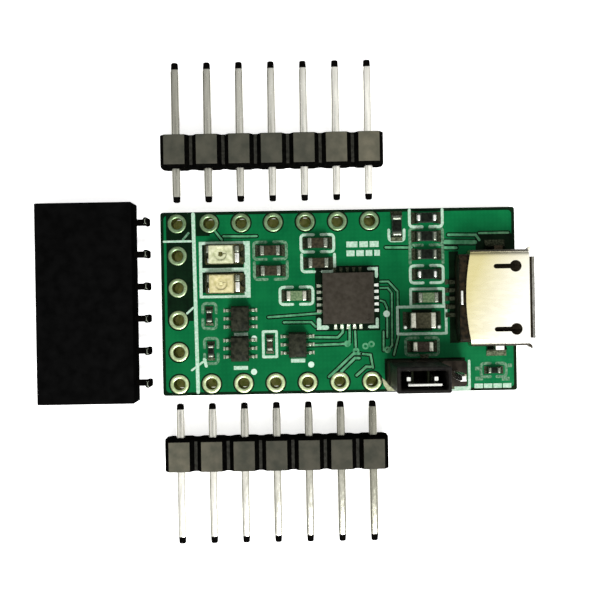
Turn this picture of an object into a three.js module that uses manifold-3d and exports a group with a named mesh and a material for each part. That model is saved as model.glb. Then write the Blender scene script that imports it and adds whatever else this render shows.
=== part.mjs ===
// A small microcontroller development board with the loose parts it is sold with:
// two male pin strips and one right-angle female socket strip, all lying flat on one surface.
//
// Units are millimetres. +Z is up, +X points to the USB port, and the origin is the centre of
// the circuit board's underside. The board and the loose strips all rest on z = 0.

import * as THREE from 'three';
import { mergeVertices } from 'three/addons/utils/BufferGeometryUtils.js';
import Module from 'manifold-3d';

// ---------------------------------------------------------------- driving dimensions

const PITCH = 2.54; // spacing of the plated holes and of every loose pin
const STRIP_COUNT = 7; // holes in each long row, and pins in each male strip
const SOCKET_COUNT = 6; // holes in the column at the left end, and contacts in the socket

const BOARD = { length: 28.0, width: 14.5, thickness: 1.6, corner: 0.2 };
const HOLE_RADIUS = 0.5;
const COLUMN_X = -5 * PITCH; // the column of holes, which is also the first of each row
const ROW_Y = 2.5 * PITCH; // the two rows of holes, at plus and minus this

const MCU = { x: 0.72, y: 0.24, side: 4.0, height: 0.9 };
const SMALL_CHIP = { length: 1.4, width: 2.0, height: 0.95 };
const LED = { length: 3.2, width: 1.6, height: 0.75 };

// Chip component bodies: length along the component, width across it, height above the board.
const SIZE_0402 = { length: 1.0, width: 0.5, height: 0.4 };
const SIZE_0603 = { length: 1.6, width: 0.8, height: 0.5 };
const SIZE_0603_TALL = { length: 1.6, width: 0.8, height: 0.8 };
const SIZE_0805_TALL = { length: 2.0, width: 1.25, height: 1.0 };

const USB = {
  centreY: 0.07,
  rear: 9.6, // rear edge of the shell
  mouth: 14.45, // where the mouth starts to flare
  front: 14.75, // the flared lips' front edge, which overhangs the board
  halfWidth: 3.7,
  halfFloor: 2.75, // half width of the shell's flat bottom, between its slanted sides
  shoulder: 1.1, // height at which the slanted sides turn upright
  height: 2.6,
  corner: 0.6,
  wall: 0.28,
  flare: 0.3,
};
const USB_WINDOW = { offset: 2.4, start: 11.9, end: 13.2, halfWidth: 0.18, roundX: 13.4, radius: 0.45 };
const USB_TAB = { start: 12.05, end: 12.7, reach: 0.35, height: 1.4 };
const USB_CONTACT = {
  count: 5,
  pitch: 0.65,
  width: 0.25,
  thickness: 0.15,
  footX: 8.7,
  riserX: 9.55, // outer face of the upright stretch
  tipX: 13.5,
  fingerHeight: 1.15, // underside of the long finger, above the board
};

const JUMPER = { pitch: 2.0, count: 3, x: 6.7, y: -5.7, baseHeight: 2.0, pinSide: 0.5, pinAbove: 4.0 };
const SHUNT = { length: 3.9, width: 1.9, height: 5.0, wall: 0.3 };
const CLIP = { shift: 0.12, halfLength: 1.24, back: 0.5, metal: 0.2, leafGap: 0.5, leafHeight: 2.5 };

const STRIP = { depth: 2.54, flat: 1.65, groove: 0.25, grooveDepth: 0.45, innerY: 10.6 };
const PIN = { side: 0.64, innerY: 7.92, length: 11.08, taper: 0.45, tipSide: 0.3 };
const STRIP_GAP = 0.02; // clearance round a pin in its housing
const STRIP_CENTRE_X = COLUMN_X + ((STRIP_COUNT - 1) / 2) * PITCH;
const STRIP_A_SHIFT = 0.12; // strip a lies this much further from the board than strip b

const SOCKET = { front: -23.7, rear: -16.12, centreY: 0.17, height: 2.54, endWall: 0.27 };
const SOCKET_CELL = { mouth: 0.9, mouthDepth: 0.8, hollow: 1.6, end: -17.0 };
const SOCKET_TAIL = { width: 0.64, thickness: 0.4, x: -15.05, top: 2.6 };

// ---------------------------------------------------------------- materials

const material = (color, roughness, metalness) =>
  new THREE.MeshStandardMaterial({ color, roughness, metalness });

const MATERIALS = {
  laminate: material(0x0a6a3c, 0.4, 0.0),
  chipPlastic: material(0x3f3c35, 0.6, 0.0),
  blackPlastic: material(0x141414, 0.55, 0.0),
  stripPlastic: material(0x4a4a44, 0.6, 0.0),
  steel: material(0xefe9d2, 0.25, 1.0),
  tin: material(0xd8d6cc, 0.25, 1.0),
  gold: material(0xd9b866, 0.3, 1.0),
  resistor: material(0x2c2e2a, 0.5, 0.0),
  capacitor: material(0x8c7a58, 0.55, 0.0),
  ledResin: material(0xe6dfae, 0.35, 0.0),
};

// ---------------------------------------------------------------- solids

const wasm = await Module();
wasm.setup();

function toSolid(geometry) {
  const bare = geometry.clone();
  bare.deleteAttribute('normal');
  bare.deleteAttribute('uv');
  const merged = mergeVertices(bare, 1e-4);
  return new wasm.Manifold(
    new wasm.Mesh({
      numProp: 3,
      vertProperties: merged.attributes.position.array,
      triVerts: new Uint32Array(merged.index.array),
    }),
  );
}

function toGeometry(solid) {
  const mesh = solid.getMesh();
  const indexed = new THREE.BufferGeometry();
  indexed.setAttribute('position', new THREE.BufferAttribute(new Float32Array(mesh.vertProperties), 3));
  indexed.setIndex(new THREE.BufferAttribute(new Uint32Array(mesh.triVerts), 1));
  const geometry = indexed.toNonIndexed();
  geometry.computeVertexNormals();
  return geometry;
}

const join = (first, ...others) =>
  toGeometry(others.reduce((sum, other) => sum.add(toSolid(other)), toSolid(first)));

const cut = (first, ...tools) =>
  toGeometry(tools.reduce((rest, tool) => rest.subtract(toSolid(tool)), toSolid(first)));

// A box between two corners.
function box([x0, y0, z0], [x1, y1, z1]) {
  const geometry = new THREE.BoxGeometry(x1 - x0, y1 - y0, z1 - z0);
  return geometry.translate((x0 + x1) / 2, (y0 + y1) / 2, (z0 + z1) / 2);
}

// A box that stands on a height, centred on a point of the plan.
function block(x, y, base, { length, width, height }) {
  return box([x - length / 2, y - width / 2, base], [x + length / 2, y + width / 2, base + height]);
}

// The axes that a prism's outline lies in, and the order that keeps them right-handed.
const PRISM_FRAMES = {
  x: { swap: false, basis: [[0, 1, 0], [0, 0, 1], [1, 0, 0]] },
  y: { swap: true, basis: [[0, 0, 1], [1, 0, 0], [0, 1, 0]] },
  z: { swap: false, basis: [[1, 0, 0], [0, 1, 0], [0, 0, 1]] },
};

// A straight prism along an axis. The outline, and a hole if it has one, are pairs in the other
// two axes in alphabetical order.
function prism(axis, outline, from, to, hole = null) {
  const { swap, basis } = PRISM_FRAMES[axis];
  const points = (pairs) => pairs.map(([a, b]) => (swap ? new THREE.Vector2(b, a) : new THREE.Vector2(a, b)));
  const shape = new THREE.Shape(points(outline));
  if (hole) {
    shape.holes.push(new THREE.Path(points(hole)));
  }
  const geometry = new THREE.ExtrudeGeometry(shape, { depth: to - from, bevelEnabled: false });
  geometry.translate(0, 0, from);
  const [first, second, third] = basis.map((direction) => new THREE.Vector3(...direction));
  return geometry.applyMatrix4(new THREE.Matrix4().makeBasis(first, second, third));
}

// A round bar along Z.
function roundBar(x, y, radius, from, to, sides) {
  const geometry = new THREE.CylinderGeometry(radius, radius, to - from, sides);
  geometry.rotateX(Math.PI / 2);
  return geometry.translate(x, y, (from + to) / 2);
}

const part = new THREE.Group();

function add(name, geometry, surface) {
  const mesh = new THREE.Mesh(geometry, surface);
  mesh.name = name;
  part.add(mesh);
}

const TOP = BOARD.thickness; // the surface that the components stand on

// ---------------------------------------------------------------- circuit board

// Centres of the plated holes: two long rows, and the column between them at the left end.
function holeCentres() {
  const centres = [];
  for (let i = 0; i < STRIP_COUNT; i += 1) {
    centres.push([COLUMN_X + i * PITCH, ROW_Y], [COLUMN_X + i * PITCH, -ROW_Y]);
  }
  for (let i = 1; i < SOCKET_COUNT - 1; i += 1) {
    centres.push([COLUMN_X, ROW_Y - i * PITCH]);
  }
  return centres;
}

function circuitBoard() {
  const [x, y, r] = [BOARD.length / 2, BOARD.width / 2, BOARD.corner];
  const shape = new THREE.Shape();
  shape.moveTo(r - x, -y);
  shape.lineTo(x - r, -y).absarc(x - r, r - y, r, -Math.PI / 2, 0);
  shape.lineTo(x, y - r).absarc(x - r, y - r, r, 0, Math.PI / 2);
  shape.lineTo(r - x, y).absarc(r - x, y - r, r, Math.PI / 2, Math.PI);
  shape.lineTo(-x, r - y).absarc(r - x, r - y, r, Math.PI, 1.5 * Math.PI);
  for (const [cx, cy] of holeCentres()) {
    const hole = new THREE.Path();
    hole.absarc(cx, cy, HOLE_RADIUS, 0, 2 * Math.PI, true);
    shape.holes.push(hole);
  }
  return new THREE.ExtrudeGeometry(shape, { depth: TOP, bevelEnabled: false, curveSegments: 8 });
}

add('circuit_board', circuitBoard(), MATERIALS.laminate);

// ---------------------------------------------------------------- surface-mounted components

const square = (side, height) => ({ length: side, width: side, height });
add('mcu_chip', block(MCU.x, MCU.y, TOP, square(MCU.side, MCU.height)), MATERIALS.chipPlastic);

const SMALL_CHIPS = [
  ['regulator_chip', -7.79, -1.23],
  ['usb_guard_chip', -7.84, -3.59],
  ['logic_chip', -3.31, -3.36],
];
for (const [name, x, y] of SMALL_CHIPS) {
  add(name, block(x, y, TOP, SMALL_CHIP), MATERIALS.chipPlastic);
}

add('status_led', block(-8.95, 3.87, TOP, LED), MATERIALS.ledResin);
add('power_led', block(-8.94, 1.56, TOP, LED), MATERIALS.ledResin);

// Resistors and capacitors: name, plan position, body size, and whether it lies along Y.
const RIGHT_COLUMN_X = 7.0;
const RESISTORS = [
  ['resistor_1', RIGHT_COLUMN_X, 6.46, SIZE_0603, false],
  ['resistor_2', RIGHT_COLUMN_X, 5.01, SIZE_0603, false],
  ['resistor_3', RIGHT_COLUMN_X, 3.59, SIZE_0603, false],
  ['resistor_4', RIGHT_COLUMN_X, 2.02, SIZE_0603, false],
  ['resistor_5', 4.66, 5.85, SIZE_0603, true],
  ['resistor_6', -10.23, -0.99, SIZE_0402, true],
  ['resistor_7', -10.14, -3.75, SIZE_0402, true],
  ['resistor_8', 12.15, -5.64, SIZE_0402, false],
];
const CAPACITORS = [
  ['capacitor_1', RIGHT_COLUMN_X, 0.18, SIZE_0603_TALL, false],
  ['capacitor_2', 6.55, -1.61, SIZE_0805_TALL, false],
  ['capacitor_3', 6.53, -3.68, SIZE_0603_TALL, false],
  ['capacitor_4', -1.61, 4.62, SIZE_0603_TALL, false],
  ['capacitor_5', -1.57, 3.05, SIZE_0603_TALL, false],
  ['capacitor_6', -3.33, 0.5, SIZE_0603, false],
  ['capacitor_7', -5.36, 4.1, SIZE_0603, false],
  ['capacitor_8', -5.32, 2.51, SIZE_0603, false],
  ['capacitor_9', -5.49, -3.3, SIZE_0402, true],
];

function addChipComponents(rows, surface) {
  for (const [name, x, y, size, alongY] of rows) {
    const turned = alongY ? { length: size.width, width: size.length, height: size.height } : size;
    add(name, block(x, y, TOP, turned), surface);
  }
}
addChipComponents(RESISTORS, MATERIALS.resistor);
addChipComponents(CAPACITORS, MATERIALS.capacitor);

// ---------------------------------------------------------------- USB receptacle

// The shell's section across X: a rounded top and a bottom that slants in, all moved in by inset.
function shellSection(inset) {
  const side = USB.halfWidth - inset;
  const floor = USB.halfFloor - inset * 0.8;
  const low = TOP + inset;
  const high = TOP + USB.height - inset;
  const radius = USB.corner - inset;
  const corner = (sign) =>
    [0, 30, 60, 90].map((degrees) => {
      const angle = (degrees * Math.PI) / 180;
      return [sign * (side - radius + radius * Math.cos(angle)), high - radius + radius * Math.sin(angle)];
    });
  return [
    [-floor, low],
    [floor, low],
    [side, TOP + USB.shoulder],
    ...corner(1),
    ...corner(-1).reverse(),
    [-side, TOP + USB.shoulder],
  ];
}

// The four flared lips round the mouth: a slanted plate on each side of the shell.
function shellLips() {
  const { mouth, front, wall, flare, halfWidth, height } = USB;
  const slant = (edge, sign) => [
    [mouth - 0.2, edge - sign * wall],
    [mouth - 0.2, edge],
    [mouth, edge],
    [front, edge + sign * flare],
    [front, edge + sign * (flare - wall)],
    [mouth, edge - sign * wall],
  ];
  const roof = prism('y', slant(TOP + height, 1), -halfWidth + 0.6, halfWidth - 0.6);
  const floor = prism('y', slant(TOP, -1), -USB.halfFloor + 0.3, USB.halfFloor - 0.3);
  const right = prism('z', slant(halfWidth, 1), TOP + USB.shoulder + 0.1, TOP + height - 0.6);
  const left = prism('z', slant(-halfWidth, -1), TOP + USB.shoulder + 0.1, TOP + height - 0.6);
  return [roof, floor, right, left];
}

// A latch window in the shell's roof: a narrow slot with a round end towards the mouth.
function latchWindow(y) {
  const high = TOP + USB.height;
  const { start, end, halfWidth, roundX, radius } = USB_WINDOW;
  const slot = box([start, y - halfWidth, high - 0.5], [end, y + halfWidth, high + 0.5]);
  return [slot, roundBar(roundX, y, radius, high - 0.5, high + 0.5, 12)];
}

function shellTab(sign) {
  const [inner, outer] = [USB.halfWidth - USB.wall / 2, USB.halfWidth + USB_TAB.reach];
  const [near, far] = sign > 0 ? [inner, outer] : [-outer, -inner];
  return box([USB_TAB.start, near, TOP], [USB_TAB.end, far, TOP + USB_TAB.height]);
}

function usbShell() {
  const tube = prism('x', shellSection(0), USB.rear, USB.mouth, shellSection(USB.wall));
  const whole = join(tube, ...shellLips(), shellTab(1), shellTab(-1));
  return cut(whole, ...latchWindow(USB_WINDOW.offset), ...latchWindow(-USB_WINDOW.offset));
}

// A contact's outline across Y, grown all round by a clearance: a foot on the board behind the
// shell, a riser inside the insulator, and a long finger under the tongue.
const FINGER_LOW = TOP + USB_CONTACT.fingerHeight;
function contactOutline(grow) {
  const { footX, riserX, tipX, thickness } = USB_CONTACT;
  return [
    [footX - grow, TOP - grow],
    [riserX + grow, TOP - grow],
    [riserX + grow, FINGER_LOW - grow],
    [tipX + grow, FINGER_LOW - grow],
    [tipX + grow, FINGER_LOW + thickness + grow],
    [riserX - thickness - grow, FINGER_LOW + thickness + grow],
    [riserX - thickness - grow, TOP + thickness + grow],
    [footX - grow, TOP + thickness + grow],
  ];
}

function usbContact(index, grow) {
  const y = (index - (USB_CONTACT.count - 1) / 2) * USB_CONTACT.pitch;
  const half = USB_CONTACT.width / 2 + grow;
  return prism('y', contactOutline(grow), y - half, y + half);
}

const CONTACT_INDEXES = Array.from({ length: USB_CONTACT.count }, (unused, index) => index);

function usbInsulator() {
  const clearance = 0.04;
  const plug = prism('x', shellSection(USB.wall + clearance), 9.15, 10.6);
  const tongue = box([10.4, -1.85, FINGER_LOW], [13.8, 1.85, FINGER_LOW + 0.6]);
  const slots = CONTACT_INDEXES.map((index) => usbContact(index, clearance));
  return cut(join(plug, tongue), ...slots);
}

const atPort = (geometry) => geometry.translate(0, USB.centreY, 0);
add('usb_shell', atPort(usbShell()), MATERIALS.steel);
add('usb_insulator', atPort(usbInsulator()), MATERIALS.blackPlastic);
for (const index of CONTACT_INDEXES) {
  add(`usb_contact_${index + 1}`, atPort(usbContact(index, 0)), MATERIALS.gold);
}

// ---------------------------------------------------------------- jumper

const JUMPER_XS = [-1, 0, 1].map((step) => JUMPER.x + step * JUMPER.pitch);
const BASE_TOP = TOP + JUMPER.baseHeight;

function jumperPin(x, grow, from) {
  const half = JUMPER.pinSide / 2 + grow;
  const top = BASE_TOP + JUMPER.pinAbove;
  return box([x - half, JUMPER.y - half, from], [x + half, JUMPER.y + half, top]);
}

function jumperBase() {
  const size = { length: JUMPER.count * JUMPER.pitch, width: JUMPER.pitch, height: JUMPER.baseHeight };
  const whole = block(JUMPER.x, JUMPER.y, TOP, size);
  return cut(whole, ...JUMPER_XS.map((x) => jumperPin(x, STRIP_GAP, TOP - 1)));
}

add('jumper_base', jumperBase(), MATERIALS.blackPlastic);
JUMPER_XS.forEach((x, index) => add(`jumper_pin_${index + 1}`, jumperPin(x, 0, TOP), MATERIALS.tin));

const SHUNT_X = (JUMPER_XS[0] + JUMPER_XS[1]) / 2;
const rectangle = (x, y, halfX, halfY) => [
  [x - halfX, y - halfY],
  [x + halfX, y - halfY],
  [x + halfX, y + halfY],
  [x - halfX, y + halfY],
];

// The shunt's plastic is a rectangular sleeve that is open at both ends.
function shuntHousing() {
  const [halfX, halfY] = [SHUNT.length / 2, SHUNT.width / 2];
  const outer = rectangle(SHUNT_X, JUMPER.y, halfX, halfY);
  const inner = rectangle(SHUNT_X, JUMPER.y, halfX - SHUNT.wall, halfY - SHUNT.wall);
  return prism('z', outer, BASE_TOP, BASE_TOP + SHUNT.height, inner);
}

// The shunt's clip is a bar along the front of the sleeve, and two lower leaves that stand back
// from it and press on the pins from between them.
function shuntClip() {
  const { shift, halfLength, metal, leafGap, leafHeight } = CLIP;
  const front = JUMPER.y - CLIP.back;
  const rear = JUMPER.y + CLIP.back;
  const [low, high] = [BASE_TOP + 0.4, BASE_TOP + SHUNT.height - 0.5];
  const middle = SHUNT_X + shift;
  const bar = box([middle - halfLength, front, low], [middle + halfLength, front + metal, high]);
  const leaf = (near, far) => box([SHUNT_X + near, front, low], [SHUNT_X + far, rear, low + leafHeight]);
  return join(bar, leaf(leafGap, leafGap + metal), leaf(-leafGap - metal, -leafGap));
}

add('shunt_housing', shuntHousing(), MATERIALS.blackPlastic);
add('shunt_clip', shuntClip(), MATERIALS.tin);

// ---------------------------------------------------------------- male pin strips

// The strip's section across Y: one flat-topped unit after another, with a groove between each
// two on the upper and lower face, and a slanted edge at each end.
function stripSection() {
  const upper = [];
  const slant = (PITCH - STRIP.flat - STRIP.groove) / 2;
  const sunk = STRIP.depth - STRIP.grooveDepth;
  for (let i = 0; i < STRIP_COUNT; i += 1) {
    const x = STRIP_CENTRE_X + (i - (STRIP_COUNT - 1) / 2) * PITCH;
    upper.push([x - STRIP.flat / 2 - slant, sunk], [x - STRIP.flat / 2, STRIP.depth]);
    upper.push([x + STRIP.flat / 2, STRIP.depth], [x + STRIP.flat / 2 + slant, sunk]);
  }
  const lower = upper.map(([x, z]) => [x, STRIP.depth - z]).reverse();
  return [...lower, ...upper];
}

// A square pin along Y whose ends narrow to a blunt tip.
function stripPin(x, from, to) {
  const z = STRIP.depth / 2;
  const outline = (full, tip) => [
    [x - tip / 2, from],
    [x + tip / 2, from],
    [x + full / 2, from + PIN.taper],
    [x + full / 2, to - PIN.taper],
    [x + tip / 2, to],
    [x - tip / 2, to],
    [x - full / 2, to - PIN.taper],
    [x - full / 2, from + PIN.taper],
  ];
  const plan = prism('z', outline(PIN.side, PIN.tipSide), z - PIN.side, z + PIN.side);
  const half = PIN.side / 2;
  const low = z - half;
  const elevation = [
    [from, z - PIN.tipSide / 2],
    [from + PIN.taper, low],
    [to - PIN.taper, low],
    [to, z - PIN.tipSide / 2],
    [to, z + PIN.tipSide / 2],
    [to - PIN.taper, z + half],
    [from + PIN.taper, z + half],
    [from, z + PIN.tipSide / 2],
  ];
  return toGeometry(toSolid(plan).intersect(toSolid(prism('x', elevation, x - half, x + half))));
}

// sign is +1 for the strip above the board in plan, and -1 for the one below it. shift moves the
// strip away from the board.
function addPinStrip(name, sign, shift) {
  const span = (near, far) => (sign > 0 ? [near + shift, far + shift] : [-far - shift, -near - shift]);
  const [bodyFrom, bodyTo] = span(STRIP.innerY, STRIP.innerY + STRIP.depth);
  const [pinFrom, pinTo] = span(PIN.innerY, PIN.innerY + PIN.length);
  const half = PIN.side / 2 + STRIP_GAP;
  const z = STRIP.depth / 2;
  const xs = Array.from({ length: STRIP_COUNT }, (unused, i) => COLUMN_X + i * PITCH);
  const bores = xs.map((x) => box([x - half, bodyFrom - 1, z - half], [x + half, bodyTo + 1, z + half]));
  add(`${name}_housing`, cut(prism('y', stripSection(), bodyFrom, bodyTo), ...bores), MATERIALS.stripPlastic);
  xs.forEach((x, i) => add(`${name}_pin_${i + 1}`, stripPin(x, pinFrom, pinTo), MATERIALS.tin));
}

addPinStrip('pin_strip_a', 1, STRIP_A_SHIFT);
addPinStrip('pin_strip_b', -1, 0);

// ---------------------------------------------------------------- right-angle socket strip

const SOCKET_YS = Array.from(
  { length: SOCKET_COUNT },
  (unused, i) => SOCKET.centreY + ((SOCKET_COUNT - 1) / 2 - i) * PITCH,
);
const SOCKET_AXIS = SOCKET.height / 2;

// One cell is cut in three steps: a square mouth, a wider hollow for the contact's leaves, and a
// slot in the back wall for the tail.
function socketCell(y) {
  const slab = (from, to, halfY, halfZ) =>
    box([from, y - halfY, SOCKET_AXIS - halfZ], [to, y + halfY, SOCKET_AXIS + halfZ]);
  const { mouth, mouthDepth, hollow, end } = SOCKET_CELL;
  const tailHalf = SOCKET_TAIL.thickness / 2 + STRIP_GAP;
  return [
    slab(SOCKET.front - 1, SOCKET.front + mouthDepth + 0.1, mouth / 2, mouth / 2),
    slab(SOCKET.front + mouthDepth, end, hollow / 2, hollow / 2),
    slab(end - 0.1, SOCKET.rear + 1, SOCKET_TAIL.width / 2 + STRIP_GAP, tailHalf),
  ];
}

function socketHousing() {
  const halfLength = (SOCKET_COUNT * PITCH) / 2 + SOCKET.endWall;
  const [low, high] = [SOCKET.centreY - halfLength, SOCKET.centreY + halfLength];
  const body = box([SOCKET.front, low, 0], [SOCKET.rear, high, SOCKET.height]);
  return cut(body, ...SOCKET_YS.flatMap(socketCell));
}

// A contact's outline across Y: two leaves that grip a pin between them, and a tail that leaves
// the back of the housing and turns up at a right angle.
function socketContact(y) {
  const [leaf, gap, fork, root] = [0.15, 0.7, -22.0, -17.2];
  const halfTail = SOCKET_TAIL.thickness / 2;
  const [tailLow, tailHigh] = [SOCKET_AXIS - halfTail, SOCKET_AXIS + halfTail];
  const [bendIn, bendOut] = [SOCKET_TAIL.x - halfTail, SOCKET_TAIL.x + halfTail];
  const [low, high] = [SOCKET_AXIS - gap / 2, SOCKET_AXIS + gap / 2];
  const outline = [
    [fork, low - leaf],
    [root, low - leaf],
    [root, tailLow],
    [bendOut, tailLow],
    [bendOut, SOCKET_TAIL.top],
    [bendIn, SOCKET_TAIL.top],
    [bendIn, tailHigh],
    [root, tailHigh],
    [root, high + leaf],
    [fork, high + leaf],
    [fork, high],
    [root - 0.4, high],
    [root - 0.4, low],
    [fork, low],
  ];
  return prism('y', outline, y - SOCKET_TAIL.width / 2, y + SOCKET_TAIL.width / 2);
}

add('socket_housing', socketHousing(), MATERIALS.blackPlastic);
SOCKET_YS.forEach((y, i) => add(`socket_contact_${i + 1}`, socketContact(y), MATERIALS.tin));

export default part;
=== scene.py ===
"""A microcontroller board with two pin strips and a socket strip, as visual pieces round the CAD frame.

Shapes are made in millimetres, in the frame of the CAD: +Z is up, +X points to the USB port, and the
origin is the centre of the board's underside. A piece is scaled to metres when its mesh is finished.
"""

import itertools
import math

import bmesh
import bpy
from mathutils import Matrix, Vector


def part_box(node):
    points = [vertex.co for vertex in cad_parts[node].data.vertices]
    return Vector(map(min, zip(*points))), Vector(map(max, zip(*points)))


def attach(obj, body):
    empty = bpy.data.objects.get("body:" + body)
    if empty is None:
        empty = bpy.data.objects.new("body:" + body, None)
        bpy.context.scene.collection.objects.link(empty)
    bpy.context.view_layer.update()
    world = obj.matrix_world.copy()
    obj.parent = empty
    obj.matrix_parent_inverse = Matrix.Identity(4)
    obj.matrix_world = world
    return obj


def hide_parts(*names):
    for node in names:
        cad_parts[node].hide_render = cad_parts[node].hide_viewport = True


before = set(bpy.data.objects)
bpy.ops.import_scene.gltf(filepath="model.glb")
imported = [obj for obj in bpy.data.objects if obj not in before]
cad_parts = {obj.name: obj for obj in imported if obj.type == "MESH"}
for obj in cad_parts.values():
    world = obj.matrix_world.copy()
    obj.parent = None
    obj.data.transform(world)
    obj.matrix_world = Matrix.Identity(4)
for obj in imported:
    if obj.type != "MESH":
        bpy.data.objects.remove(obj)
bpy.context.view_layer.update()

MM = 0.001
LIGHT_LEVEL = 1.65  # how bright a level, perfectly white surface is under the scene's lights


# -------- where the CAD nodes are


class Node:
    """A CAD node's centre, half size and corners, in millimetres."""

    def __init__(self, name):
        low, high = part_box(name)
        self.low, self.high = low / MM, high / MM
        self.x, self.y, self.z = (self.low + self.high) / 2
        self.half_x, self.half_y, self.half_z = (self.high - self.low) / 2

    def form(self, z=0.0):
        """A form with its origin over the node's middle, at a height."""
        return Form().at(self.x, self.y, z)


# -------- outlines


def arc(centre, radius, start, end, steps):
    """Points along an arc, from one angle to another in degrees."""
    angles = [math.radians(start + (end - start) * step / steps) for step in range(steps + 1)]
    return [(centre[0] + radius * math.cos(a), centre[1] + radius * math.sin(a)) for a in angles]


def circle(centre, radius, steps=24):
    return arc(centre, radius, 0, 360, steps)[:-1]


def rectangle(low, high):
    return [(low[0], low[1]), (high[0], low[1]), (high[0], high[1]), (low[0], high[1])]


def rounded_rectangle(half_x, half_y, radius, steps=4):
    """An outline centred on the origin."""
    points = []
    for sign_x, sign_y, start in ((1, 1, 0), (-1, 1, 90), (-1, -1, 180), (1, -1, 270)):
        centre = (sign_x * (half_x - radius), sign_y * (half_y - radius))
        points += arc(centre, radius, start, start + 90, steps)
    return points


def rounded_path(points, radius, steps=4):
    """The same path with its inner corners eased into curves."""
    path = [Vector(points[0])]
    for before, corner, after in zip(points, points[1:], points[2:]):
        corner = Vector(corner)
        start = corner + (Vector(before) - corner).normalized() * radius
        end = corner + (Vector(after) - corner).normalized() * radius
        for step in range(steps + 1):
            t = step / steps
            path.append(start.lerp(corner, t).lerp(corner.lerp(end, t), t))
    return path + [Vector(points[-1])]


def band(points, width, cap_steps=0):
    """The outline of a line of even width along a path, its ends flat or round."""
    half = width / 2
    path = [Vector(point) for point in points]
    headings = [(after - before).normalized() for before, after in zip(path, path[1:])]
    left, right = [], []
    for index, point in enumerate(path):
        before = headings[max(index - 1, 0)]
        after = headings[min(index, len(headings) - 1)]
        normal = (before + after).normalized().orthogonal()
        reach = half / max(normal.dot(before.orthogonal()), 0.5)
        left.append(point + normal * reach)
        right.append(point - normal * reach)
    ends = ([], [])
    if cap_steps:
        first = math.degrees(math.atan2(headings[0].y, headings[0].x))
        last = math.degrees(math.atan2(headings[-1].y, headings[-1].x))
        ends = (
            arc(path[-1], half, last - 90, last + 90, cap_steps)[1:-1],
            arc(path[0], half, first + 90, first + 270, cap_steps)[1:-1],
        )
    return [*right, *ends[0], *reversed(left), *ends[1]]


# -------- solids

# Where an outline's two numbers and its place along an axis go, for each axis.
AXES = {
    "x": lambda a, b, along: (along, a, b),
    "y": lambda a, b, along: (a, along, b),
    "z": lambda a, b, along: (a, b, along),
}


class Form:
    """A mesh in the making, in millimetres. A solid is added in the current place."""

    def __init__(self):
        self.bm = bmesh.new()
        self.place = Matrix.Identity(4)
        self.index = 0

    def at(self, x, y, z, turn=0.0):
        """Puts the origin of what is added next at a point, turned about Z by an angle in degrees."""
        self.place = Matrix.Translation((x, y, z)) @ Matrix.Rotation(math.radians(turn), 4, "Z")
        return self

    def face(self, corners):
        made = self.bm.faces.new(corners)
        made.material_index = self.index
        return made

    def walls(self, lower, upper):
        count = len(lower)
        for i in range(count):
            self.face((lower[i], lower[(i + 1) % count], upper[(i + 1) % count], upper[i]))

    def loft(self, rings, closed=False):
        """A skin through rings of equal length, capped at both ends unless it closes on itself."""
        rows = [[self.bm.verts.new(self.place @ Vector(point)) for point in ring] for ring in rings]
        for lower, upper in zip(rows, rows[1:]):
            self.walls(lower, upper)
        if closed:
            self.walls(rows[-1], rows[0])
        else:
            self.face(rows[0][::-1])
            self.face(rows[-1])
        return self

    def stack(self, levels, axis="z", closed=False):
        """A loft through flat outlines, each given with its place along an axis."""
        rings = [[AXES[axis](a, b, along) for a, b in outline] for outline, along in levels]
        return self.loft(rings, closed)

    def prism(self, outline, low, high, axis="z"):
        return self.stack(((outline, low), (outline, high)), axis)

    def cone(self, levels, steps=20):
        """A round solid about Z, given by its radius and height at each level."""
        return self.stack((circle((0, 0), radius, steps), z) for radius, z in levels)

    def lathe(self, profile, steps):
        """A ring about Z whose section is a closed profile of radius and height."""
        rings = []
        for step in range(steps):
            angle = 2 * math.pi * step / steps
            rings.append([(r * math.cos(angle), r * math.sin(angle), z) for r, z in profile])
        return self.loft(rings, closed=True)

    def block(self, half_x, half_y, low, high, corner=0.05, edge=0.03, draft=0.0, foot=0.0, steps=3):
        """A moulded block: rounded corners in plan, rounded top and bottom edges, sides that lean in."""
        turns = [math.pi / 2 * step / steps for step in range(steps + 1)]
        profile = [(foot * (1 - math.cos(a)), low + foot * (1 - math.sin(a))) for a in reversed(turns)]
        profile += [(draft + edge * (1 - math.cos(a)), high - edge * (1 - math.sin(a))) for a in turns]
        if foot == 0:
            profile = profile[steps:]
        return self.stack(
            (rounded_rectangle(half_x - inset, half_y - inset, max(corner - inset, 0.01)), z)
            for inset, z in profile
        )

    def plate(self, outline, holes, low, high):
        """A flat sheet with holes through it."""
        levels = []
        for z in (low, high):
            loops = [
                [self.bm.verts.new(self.place @ Vector((x, y, z))) for x, y in loop]
                for loop in (outline, *holes)
            ]
            edges = [self.bm.edges.new((a, b)) for loop in loops for a, b in zip(loop, loop[1:] + loop[:1])]
            filled = bmesh.ops.triangle_fill(self.bm, use_beauty=True, edges=edges)["geom"]
            for face in filled:
                if isinstance(face, bmesh.types.BMFace):
                    face.material_index = self.index
            levels.append(loops)
        for lower, upper in zip(*levels):
            self.walls(lower, upper)
        return self

    def paint(self, index, test):
        """Gives a material index to the faces whose centre and normal pass a test."""
        self.bm.normal_update()
        for face in self.bm.faces:
            if test(face.calc_center_median(), face.normal):
                face.material_index = index
        return self


def put(name, data):
    """A new object in the scene."""
    obj = bpy.data.objects.new(name, data)
    bpy.context.scene.collection.objects.link(obj)
    return obj


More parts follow.
